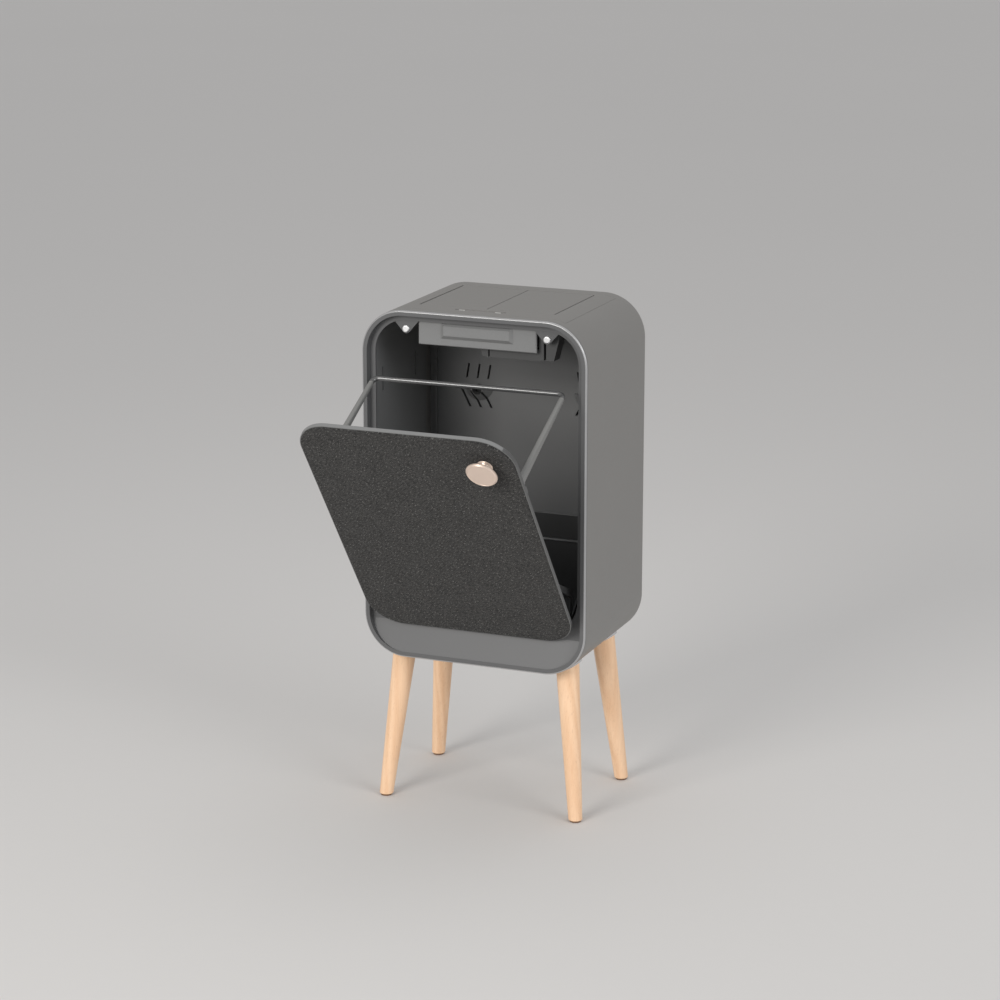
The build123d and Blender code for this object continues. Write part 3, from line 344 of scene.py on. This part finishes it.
# What a user would change
class StageSettings(bpy.types.PropertyGroup):
    """Floor, lights and lens"""
    floor_colour: bpy.props.FloatVectorProperty(
        name="Floor", description="Colour of the studio floor", subtype="COLOR",
        default=(0.69, 0.669, 0.646), min=0, max=1,
    )
    key_power: bpy.props.FloatProperty(
        name="Key light", description="Power of the key light", subtype="POWER", default=9.6,
        min=0,
    )
    fill_power: bpy.props.FloatProperty(
        name="Fill light", description="Power of the fill light", subtype="POWER", default=5.4,
        min=0,
    )
    sky: bpy.props.FloatProperty(
        name="Ambient", description="Strength of the light from all round", default=0.64, min=0,
    )
    lens: bpy.props.FloatProperty(
        name="Lens", description="Focal length of the camera in millimetres", default=106.56,
        min=10,
    )


class FinishSettings(bpy.types.PropertyGroup):
    """Colours of the plastics and the pull"""
    shell: bpy.props.FloatVectorProperty(
        name="Shell", description="Colour of the cabinet's shell", subtype="COLOR",
        default=(0.216, 0.209, 0.199), min=0, max=1,
    )
    bezel: bpy.props.FloatVectorProperty(
        name="Bezel", description="Colour of the front bezel", subtype="COLOR",
        default=(0.118, 0.118, 0.119), min=0, max=1,
    )
    inside: bpy.props.FloatVectorProperty(
        name="Inside", description="Colour of the inner mouldings", subtype="COLOR",
        default=(0.182, 0.182, 0.181), min=0, max=1,
    )
    trim: bpy.props.FloatVectorProperty(
        name="Trim", description="Colour of the plate and door backing", subtype="COLOR",
        default=(0.225, 0.225, 0.223), min=0, max=1,
    )
    pull: bpy.props.FloatVectorProperty(
        name="Pull", description="Colour of the round pull", subtype="COLOR",
        default=(0.91, 0.74, 0.63), min=0, max=1,
    )


class ClothSettings(bpy.types.PropertyGroup):
    """Colour and weave of the door's cloth"""
    colour: bpy.props.FloatVectorProperty(
        name="Colour", description="Colour of the door's cloth", subtype="COLOR",
        default=(0.038, 0.037, 0.0355), min=0, max=1,
    )
    thread: bpy.props.FloatProperty(
        name="Thread", description="Width of one thread of the weave", subtype="DISTANCE",
        unit="LENGTH", default=0.0009, min=0.0002,
    )
    sheen: bpy.props.FloatProperty(
        name="Sheen", description="Strength of the soft sheen", subtype="FACTOR", default=0.16,
        min=0, max=1,
    )


class WoodSettings(bpy.types.PropertyGroup):
    """Colours of the legs' wood"""
    light: bpy.props.FloatVectorProperty(
        name="Light wood", description="Colour of the pale grain", subtype="COLOR",
        default=(1.0, 0.70, 0.465), min=0, max=1,
    )
    dark: bpy.props.FloatVectorProperty(
        name="Dark wood", description="Colour of the dark grain", subtype="COLOR",
        default=(0.84, 0.53, 0.32), min=0, max=1,
    )


# Pieces
def mesh_object(name, bm, material):
    """Make a smooth mesh object with one material."""
    mesh = bpy.data.meshes.new(name)
    bm.to_mesh(mesh)
    bm.free()
    for polygon in mesh.polygons:
        polygon.use_smooth = True
    mesh.materials.append(material)
    obj = bpy.data.objects.new(name, mesh)
    bpy.context.scene.collection.objects.link(obj)
    return obj


def rounded_loop(bm, width, height, radius, depth, middle, steps=14):
    """A ring of vertices round a rounded rectangle in x and z at one depth."""
    ring = []
    for quarter, (side_x, side_z) in enumerate([(1, 1), (-1, 1), (-1, -1), (1, -1)]):
        corner_x = side_x * (width / 2 - radius)
        corner_z = middle + side_z * (height / 2 - radius)
        for step in range(steps + 1):
            angle = math.radians(90 * quarter + 90 * step / steps)
            x = corner_x + radius * math.cos(angle)
            z = corner_z + radius * math.sin(angle)
            ring.append(bm.verts.new((x, depth, z)))
    return ring


def skin(bm, rings):
    """Close the strips between rings of vertices, each to the next."""
    for one, other in zip(rings, rings[1:]):
        for k in range(len(one)):
            bm.faces.new((one[k - 1], one[k], other[k], other[k - 1]))


def tube(name, material, points, across, radius, steps=20):
    """A round tube along points that lie in a plane square to the direction across."""
    bm = bmesh.new()
    points = [Vector(point) for point in points]
    across = Vector(across).normalized()
    rings = []
    turns = [2 * math.pi * step / steps for step in range(steps)]
    for k, point in enumerate(points):
        ahead = points[min(k + 1, len(points) - 1)] - points[max(k - 1, 0)]
        side = ahead.normalized().cross(across)
        rings.append([bm.verts.new(point + radius * (math.cos(turn) * across + math.sin(turn) * side))
                      for turn in turns])
    skin(bm, rings)
    bm.faces.new(rings[0])
    bm.faces.new(rings[-1])
    bmesh.ops.recalc_face_normals(bm, faces=bm.faces)
    return mesh_object(name, bm, material)


class BIN_OT_cloth(bpy.types.Operator):
    """Stretch the cloth over the door's face, rolled at its edge"""
    bl_idname = "bin.cloth"
    bl_label = "Door cloth"

    def execute(self, context):
        settings = context.scene.bin_cloth
        material = woven("cloth_charcoal", tuple(settings.colour), settings.thread, settings.sheen)
        bm = bmesh.new()
        rings = []
        for inset, depth in CLOTH_SECTION:
            grow = 2 * (CLOTH_EDGE + inset)
            radius = DOOR_R - CLOTH_EDGE - inset
            rings.append(rounded_loop(bm, DOOR_W - grow, DOOR_H - grow, radius, depth, DOOR_H / 2))
        skin(bm, rings)
        bm.faces.new(rings[-1])
        bmesh.ops.recalc_face_normals(bm, faces=bm.faces)
        cloth = mesh_object("door_cloth", bm, material)
        cloth.matrix_world = DOOR_PLACE
        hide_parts("door_fabric")
        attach(cloth, "door")
        return {"FINISHED"}


class BIN_OT_cabinet(bpy.types.Operator):
    """Finish the shell, bezel and inner mouldings of the cabinet, with painted highlights on the bezel's
    edge and the tray's lip and painted shade low on the back panel and inside the rear cover
    """
    bl_idname = "bin.cabinet"
    bl_label = "Cabinet"

    def execute(self, context):
        finish = context.scene.bin_finish
        shell, bezel, inside = tuple(finish.shell), tuple(finish.bezel), tuple(finish.inside)
        paint(moulded("shell_satin", shell, 0.42), "body_shell", "rear_cover", "lid_frame", "flap_left",
              "flap_right")
        paint(moulded("bezel_satin", bezel, 0.40, 0.00002, 2200, 0.04), "front_bezel")
        # The bezel's outer roll is painted almost four times lighter: a painted highlight along its edge
        paint_light_and_shade("front_bezel", lacquered("bezel_painted_highlight", shade(bezel, 3.9), 0.34),
                    lambda spot, turn, top: spot.y < FRONT_Y + EDGE_ROLL
                    and EDGE_TURN[0] < turn.y < EDGE_TURN[1])
        paint(moulded("inner_moulding", inside, 0.5, 0.00006, 1300), "back_panel")
        paint(moulded("liner_moulding", shade(inside, 1.05), 0.5, 0.00006, 1300), "side_liner_left",
              "side_liner_right")
        # The back panel below its step is painted darker: painted shade low in the cabinet
        paint_light_and_shade("back_panel", moulded("back_foot_painted_shade", shade(inside, 0.36), 0.4, 0.00004, 1300),
                    lambda spot, turn, top: top < BACK_STEP_Z)
        # The rear cover's front-facing inside is painted near black: painted shade seen through the vent
        # hole
        paint_light_and_shade("rear_cover", moulded("cover_inside_painted_shade", (0.012, 0.012, 0.012), 0.6),
                    lambda spot, turn, top: turn.y < COVER_TURN)
        paint(moulded("box_moulding", shade(inside, 0.36), 0.45, 0.00004, 1500), "control_box",
              "drive_cover", "motor_clip")
        paint(moulded("tray_moulding", shade(inside, 0.42), 0.32, 0.00003, 1500), "drip_tray")
        # A lighter bead along the drip tray's rear lip: a painted highlight on its rim
        rim = [(x, TRAY_LIP_Y, TRAY_LIP_Z) for x in (-TRAY_LIP_REACH, TRAY_LIP_REACH)]
        lip = moulded("tray_lip_painted_highlight", shade(inside, 1.7), 0.28)
        bead = tube("tray_highlight_bead", lip, rim, (0, 0, 1), TRAY_LIP_R)
        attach(bead, "cabinet")
        return {"FINISHED"}


class BIN_OT_door(bpy.types.Operator):
    """Finish the door's backing, arms, pull and strikes, with painted shade on the backing's flanks"""
    bl_idname = "bin.door"
    bl_label = "Door"

    def execute(self, context):
        finish = context.scene.bin_finish
        trim, inside, pull = tuple(finish.trim), tuple(finish.inside), tuple(finish.pull)
        paint(moulded("door_backing", shade(trim, 0.95), 0.34, 0.00003, 1800), "door_panel")
        # The door's side faces are painted darker than its backing: painted shade on its flanks
        paint_light_and_shade("door_panel", moulded("door_flank_painted_shade", shade(trim, 0.42), 0.4),
                    lambda spot, turn, top: abs(turn.x) > FLANK_TURN)
        paint(moulded("door_lining", shade(trim, 0.5), 0.45), "door_inner_panel", "ring_sockets")
        paint(moulded("arm_dark", shade(inside, 0.3), 0.4), "hinge_arms", "hinge_brackets")
        paint(metal("pull_satin", pull, 0.34, "X", metallic=0.7), "door_knob")
        paint(metal("steel_strike", (0.62, 0.62, 0.63), 0.35), "strike_plates")
        return {"FINISHED"}


class BIN_OT_ring(bpy.types.Operator):
    """Finish the bag ring and its sleeves"""
    bl_idname = "bin.ring"
    bl_label = "Bag ring"

    def execute(self, context):
        lacquer = lacquered("ring_lacquer", (0.17, 0.17, 0.17), 0.22)
        paint(lacquer, "bag_ring")
        half = []
        for step in range(RING_BEND_STEPS + 1):
            angle = math.pi / 2 * step / RING_BEND_STEPS
            half.append((RING_ARM_X - RING_BEND * (1 - math.sin(angle)), RING_BEND * (1 - math.cos(angle))))
        half.append((RING_ARM_X, RING_BEND + RING_TAIL))
        path = [(-x, back) for x, back in reversed(half)] + half
        points = [(x, RING_BAR_Y - back * RING_RISE.x, RING_BAR_Z - back * RING_RISE.y) for x, back in path]
        bar = tube("ring_bar", lacquer, points, (0, -RING_RISE.y, RING_RISE.x), RING_BAR_R)
        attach(bar, "ring")
        paint(moulded("ring_sleeve", (0.20, 0.198, 0.19), 0.38, 0.00002), "ring_sleeves")
        return {"FINISHED"}


class BIN_OT_controls(bpy.types.Operator):
    """Finish the control box, sensor, lights, cells and boards"""
    bl_idname = "bin.controls"
    bl_label = "Controls"

    def execute(self, context):
        trim = tuple(context.scene.bin_finish.trim)
        paint(moulded("control_face", shade(trim, 1.05), 0.34, 0.00002, 2000), "control_plate",
              "battery_cover")
        smoke = moulded("sensor_smoke", (0.07, 0.066, 0.062), 0.16, 0.000004, 900, 0.03, 0.6, 0.4)
        paint(smoke, "sensor_window")
        paint(moulded("indicator_frost", (0.62, 0.61, 0.58), 0.35, 0.00001, 900, 0.03), "indicator_lights")
        paint(moulded("board_green", (0.02, 0.10, 0.05), 0.35, 0.00002, 700, 0.2), "circuit_board",
              "sensor_board")
        paint(lacquered("cell_sleeve", (0.09, 0.09, 0.11), 0.3), "batteries")
        paint(moulded("switch_black", (0.02, 0.02, 0.021), 0.5), "power_switch")
        paint(metal("motor_can", (0.55, 0.55, 0.55), 0.32, "Y"), "lid_motors")
        return {"FINISHED"}


class BIN_OT_legs(bpy.types.Operator):
    """Finish the wooden legs, their flanges and glides"""
    bl_idname = "bin.legs"
    bl_label = "Legs"

    def execute(self, context):
        wood = context.scene.bin_wood
        for name, turn in LEG_TURNS.items():
            material = beech(name.replace("leg", "beech"), tuple(wood.light), tuple(wood.dark), turn)
            paint(material, name)
        paint(lacquered("flange_grey", (0.62, 0.62, 0.63), 0.25), "leg_flanges")
        paint(moulded("rubber_tan", (0.20, 0.11, 0.06), 0.7, 0.00008, 900), "leg_glides")
        paint(moulded("rubber_black", (0.03, 0.03, 0.03), 0.75, 0.00008, 900), "door_stop_pads")
        return {"FINISHED"}


class BIN_OT_fixings(bpy.types.Operator):
    """Finish the screws, pins, bolts, shafts and magnets"""
    bl_idname = "bin.fixings"
    bl_label = "Fixings"

    def execute(self, context):
        paint(metal("screw_steel", (0.50, 0.50, 0.51), 0.35), "rear_screws", "door_screws", "knob_screw",
              "socket_screws", "flange_screws", "leg_bolts", "hinge_pins", "flap_shafts_left",
              "flap_shafts_right")
        paint(metal("magnet_bright", (0.93, 0.93, 0.94), 0.42), "door_magnets")
        return {"FINISHED"}


class BIN_OT_stage(bpy.types.Operator):
    """Lay the floor, hang the lights and set the camera"""
    bl_idname = "bin.stage"
    bl_label = "Stage"

    def floor(self, pale):
        """Lay a wide round floor that keeps the object's shadow."""
        shader = Shader("floor_pale")
        cloud = shader.noise(0.8, 2)
        fine = shader.noise(60, 3)
        material = shader.set(
            color=shader.mix(cloud * 0.7 + fine * 0.3, shade(pale, 0.97), pale),
            roughness=0.9 + (cloud - 0.5) * 0.1,
            specular=0.05,
            normal=shader.bump(fine, 0.0001, 0.2),
        )
        bm = bmesh.new()
        bmesh.ops.create_circle(bm, cap_ends=True, segments=96, radius=FLOOR_RADIUS)
        floor = mesh_object("studio_floor", bm, material)

    def air(self, scene, pale, sky):
        """Light the object from all round, and show the camera and bright metal a backdrop."""
        world = scene.world or bpy.data.worlds.new("studio")
        scene.world = world
        shader = Shader("studio_air", world)
        glow = shader.node("ShaderNodeBackground", {}, {"Color": AIR_COLOUR, "Strength": sky})
        wall = {"Color": shade(pale, BACKDROP_SHADE), "Strength": 1.0}
        backdrop = shader.node("ShaderNodeBackground", {}, wall)
        seen = shader.node("ShaderNodeLightPath", out="Is Camera Ray")
        mirrored = shader.node("ShaderNodeLightPath", out="Is Glossy Ray")
        through = shader.node("ShaderNodeLightPath", out="Is Transmission Ray")
        view = shader.node("ShaderNodeMixShader", {}, {0: seen + mirrored + through, 1: glow, 2: backdrop})
        output = next(n for n in shader.tree.nodes if n.type == "OUTPUT_WORLD")
        shader.feed(output.inputs["Surface"], view)

    def lamp(self, name, power):
        """Hang one soft square lamp that faces the object's middle."""
        place, side, colour = LAMPS[name]
        lamp = bpy.data.lights.new(name, "AREA")
        lamp.shape = "RECTANGLE"
        lamp.size, lamp.size_y = side, side
        lamp.energy = power
        lamp.spread = LAMP_SPREAD
        lamp.color = colour
        obj = bpy.data.objects.new(name, lamp)
        bpy.context.scene.collection.objects.link(obj)
        obj.location = place
        obj.rotation_euler = (MIDDLE - Vector(place)).to_track_quat("-Z", "Y").to_euler()

    def camera(self, scene, lens):
        """Set the camera at the photograph's angle."""
        camera = bpy.data.cameras.new("photo_camera")
        camera.sensor_width = 36
        camera.lens = lens
        camera.clip_end = CAMERA_REACH
        seat = bpy.data.objects.new("photo_camera", camera)
        scene.collection.objects.link(seat)
        seat.location = CAMERA_PLACE
        seat.rotation_euler = CAMERA_TURN
        scene.camera = seat

    def execute(self, context):
        settings = context.scene.bin_stage
        scene = context.scene
        pale = tuple(settings.floor_colour)
        self.floor(pale)
        self.air(scene, pale, settings.sky)
        self.lamp("key", settings.key_power)
        self.lamp("fill", settings.fill_power)
        self.lamp("top", settings.fill_power * TOP_SHARE)
        self.camera(scene, settings.lens)
        scene.view_settings.view_transform = "Standard"
        return {"FINISHED"}


class BIN_PT_panel(bpy.types.Panel):
    """Lists the pieces and their settings"""
    bl_idname = "BIN_PT_panel"
    bl_label = "Waste Bin"
    bl_space_type = "VIEW_3D"
    bl_region_type = "UI"
    bl_category = "Waste Bin"

    def draw(self, context):
        for group, operators in PANEL.items():
            box = self.layout.box()
            settings = getattr(context.scene, group)
            for key in settings.__annotations__:
                box.prop(settings, key)
            for operator in operators:
                box.operator(operator.bl_idname)


SETTINGS = {
    "bin_stage": StageSettings,
    "bin_finish": FinishSettings,
    "bin_cloth": ClothSettings,
    "bin_wood": WoodSettings,
}
PANEL = {
    "bin_stage": [BIN_OT_stage],
    "bin_finish": [BIN_OT_cabinet, BIN_OT_door, BIN_OT_ring, BIN_OT_controls, BIN_OT_fixings],
    "bin_cloth": [BIN_OT_cloth],
    "bin_wood": [BIN_OT_legs],
}
OPERATORS = [operator for group in PANEL.values() for operator in group]


def register():
    for item in list(SETTINGS.values()) + OPERATORS + [BIN_PT_panel]:
        bpy.utils.register_class(item)
    for name, group in SETTINGS.items():
        setattr(bpy.types.Scene, name, bpy.props.PointerProperty(type=group))


def unregister():
    for name in SETTINGS:
        delattr(bpy.types.Scene, name)
    for item in reversed(list(SETTINGS.values()) + OPERATORS + [BIN_PT_panel]):
        bpy.utils.unregister_class(item)


def main():
    register()
    for operator in OPERATORS:
        getattr(bpy.ops.bin, operator.bl_idname.split(".")[1])()


if __name__ == "__main__":
    main()
